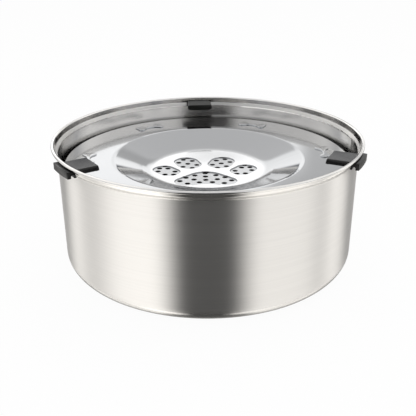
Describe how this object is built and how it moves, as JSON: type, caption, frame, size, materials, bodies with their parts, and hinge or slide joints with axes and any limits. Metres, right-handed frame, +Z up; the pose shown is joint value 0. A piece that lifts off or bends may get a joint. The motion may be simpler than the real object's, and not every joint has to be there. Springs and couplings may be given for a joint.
{
  "type": "no-spill water bowl",
  "caption": "Round steel pet water bowl with a floating dished plate, a paw-shaped drain and pull-out clips that hold the plate under the rim.",
  "frame": {"origin": "centre of the flat underside of the foot pad, on the surface that the bowl stands on", "axes": "+Z up along the bowl's axis, +Y towards the clip at the back, +X to the right seen from the front"},
  "size_m": [0.25, 0.2527, 0.104],
  "materials": {
    "bowl_steel": "satin, brushed round the wall",
    "plate_steel": "polished",
    "fastener_steel": "bright machined",
    "float_plastic": "moulded",
    "clip_plastic": "fine satin",
    "pad_rubber": "matt",
    "seal_rubber": "smooth"
  },
  "bodies": {
    "bowl": {"bowl_shell": "bowl_steel", "base_pad": "pad_rubber"},
    "float": {"float_plate": "plate_steel", "float_shell": "float_plastic", "outer_seal": "seal_rubber", "inner_seal": "seal_rubber", "plate_posts": "fastener_steel", "float_screws": "fastener_steel", "screw_seals": "seal_rubber"},
    "back_clip": {"clip_back": "clip_plastic"},
    "left_clip": {"clip_left": "clip_plastic"},
    "right_clip": {"clip_right": "clip_plastic"}
  },
  "joints": [
    {"name": "float_bob", "type": "slide", "parent": "bowl", "child": "float", "axis": [0, 0, 1], "range_m": [-0.0595, 0.0107], "stiffness_N_per_m": 297.5, "springref_m": 0.013},
    {"name": "back_clip_pull", "type": "slide", "parent": "bowl", "child": "back_clip", "axis": [0, 1, 0], "range_m": [0, 0.0158]},
    {"name": "left_clip_pull", "type": "slide", "parent": "bowl", "child": "left_clip", "axis": [-0.866, -0.5, 0], "range_m": [0, 0.0158]},
    {"name": "right_clip_pull", "type": "slide", "parent": "bowl", "child": "right_clip", "axis": [0.866, -0.5, 0], "range_m": [0, 0.0158]}
  ]
}
